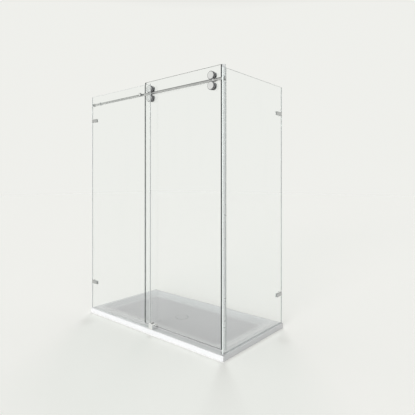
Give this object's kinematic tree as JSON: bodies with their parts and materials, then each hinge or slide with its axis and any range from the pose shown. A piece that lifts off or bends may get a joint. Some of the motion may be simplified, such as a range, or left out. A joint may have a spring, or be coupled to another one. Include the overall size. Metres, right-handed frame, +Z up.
{
  "type": "shower enclosure with sliding door",
  "caption": "Glass shower enclosure on a low white tray: fixed front panel, return side panel and a frameless door that hangs from grooved rollers on a round rail.",
  "frame": {"origin": "middle of the tray underside, on the floor", "axes": "+X along the tray from the left wall to the open right end, +Y from the front edge to the back wall, +Z up"},
  "size_m": [1.524, 0.792, 1.982],
  "materials": {
    "tray_white": "white, smooth satin gloss",
    "waste_plastic": "moulded white-grey plastic",
    "clear_glass": "clear toughened glass, polished edges",
    "clear_seal": "clear flexible seal",
    "polished_metal": "polished",
    "bearing_steel": "turned steel",
    "nylon": "natural nylon",
    "nylon_wheel": "turned dark engineering plastic",
    "seal_rubber": "matt black rubber"
  },
  "bodies": {
    "enclosure": {"clamp_back_lower": "polished_metal", "clamp_back_upper": "polished_metal", "clamp_bolts": "bearing_steel", "clamp_gaskets": "clear_seal", "clamp_left_lower": "polished_metal", "clamp_left_upper": "polished_metal", "clamp_plates": "polished_metal", "fixed_panel": "clear_glass", "fixed_panel_bed_seal": "clear_seal", "fixed_panel_wall_seal": "clear_seal", "guide_block": "polished_metal", "guide_liners": "nylon", "guide_screws": "bearing_steel", "rail": "polished_metal", "rail_connector_bush": "nylon", "rail_connector_cap": "polished_metal", "rail_connector_neck": "polished_metal", "rail_end_bush": "nylon", "rail_end_cap": "polished_metal", "rail_end_gaskets": "clear_seal", "rail_socket_grub_screw": "bearing_steel", "rail_wall_socket": "polished_metal", "return_panel": "clear_glass", "return_panel_bed_seal": "clear_seal", "return_panel_wall_seal": "clear_seal", "shower_tray": "tray_white", "stop_bumpers": "clear_seal", "stop_collar_closed": "polished_metal", "stop_collar_open": "polished_metal", "stop_grub_screws": "bearing_steel", "waste_body": "waste_plastic", "waste_seal": "seal_rubber"},
    "door": {"door_panel": "clear_glass", "door_closing_seal": "clear_seal", "roller_bolts_left": "bearing_steel", "roller_bolts_right": "bearing_steel", "roller_caps_left": "polished_metal", "roller_caps_right": "polished_metal", "roller_spacers": "bearing_steel", "roller_bushes": "nylon", "roller_gaskets": "clear_seal"},
    "roller_left_upper": {"wheel_left_upper": "nylon_wheel", "bearing_left_upper": "bearing_steel", "wheel_face_left_upper": "polished_metal"},
    "roller_left_lower": {"wheel_left_lower": "nylon_wheel", "bearing_left_lower": "bearing_steel", "wheel_face_left_lower": "polished_metal"},
    "roller_right_upper": {"wheel_right_upper": "nylon_wheel", "bearing_right_upper": "bearing_steel", "wheel_face_right_upper": "polished_metal"},
    "roller_right_lower": {"wheel_right_lower": "nylon_wheel", "bearing_right_lower": "bearing_steel", "wheel_face_right_lower": "polished_metal"},
    "cover": {"drain_cover": "tray_white"}
  },
  "joints": [
    {"name": "door_slide", "type": "slide", "parent": "enclosure", "child": "door", "axis": [-1, 0, 0], "range_m": [0, 0.63]},
    {"name": "spin_left_upper", "type": "hinge", "parent": "door", "child": "roller_left_upper", "pos_m": [0.004, -0.36, 1.9155], "axis": [0, 1, 0], "continuous": true},
    {"name": "spin_left_lower", "type": "hinge", "parent": "door", "child": "roller_left_lower", "pos_m": [0.004, -0.36, 1.8445], "axis": [0, 1, 0], "continuous": true},
    {"name": "spin_right_upper", "type": "hinge", "parent": "door", "child": "roller_right_upper", "pos_m": [0.633, -0.36, 1.9155], "axis": [0, 1, 0], "continuous": true},
    {"name": "spin_right_lower", "type": "hinge", "parent": "door", "child": "roller_right_lower", "pos_m": [0.633, -0.36, 1.8445], "axis": [0, 1, 0], "continuous": true},
    {"name": "cover_lift", "type": "slide", "parent": "enclosure", "child": "cover", "axis": [0, 0, 1], "range_m": [0, 0.06]}
  ],
  "couplings": [
    {"joint": "spin_left_upper", "follows": "door_slide", "rad_per_m": -39.682},
    {"joint": "spin_left_lower", "follows": "door_slide", "rad_per_m": 39.682},
    {"joint": "spin_right_upper", "follows": "door_slide", "rad_per_m": -39.682},
    {"joint": "spin_right_lower", "follows": "door_slide", "rad_per_m": 39.682}
  ]
}
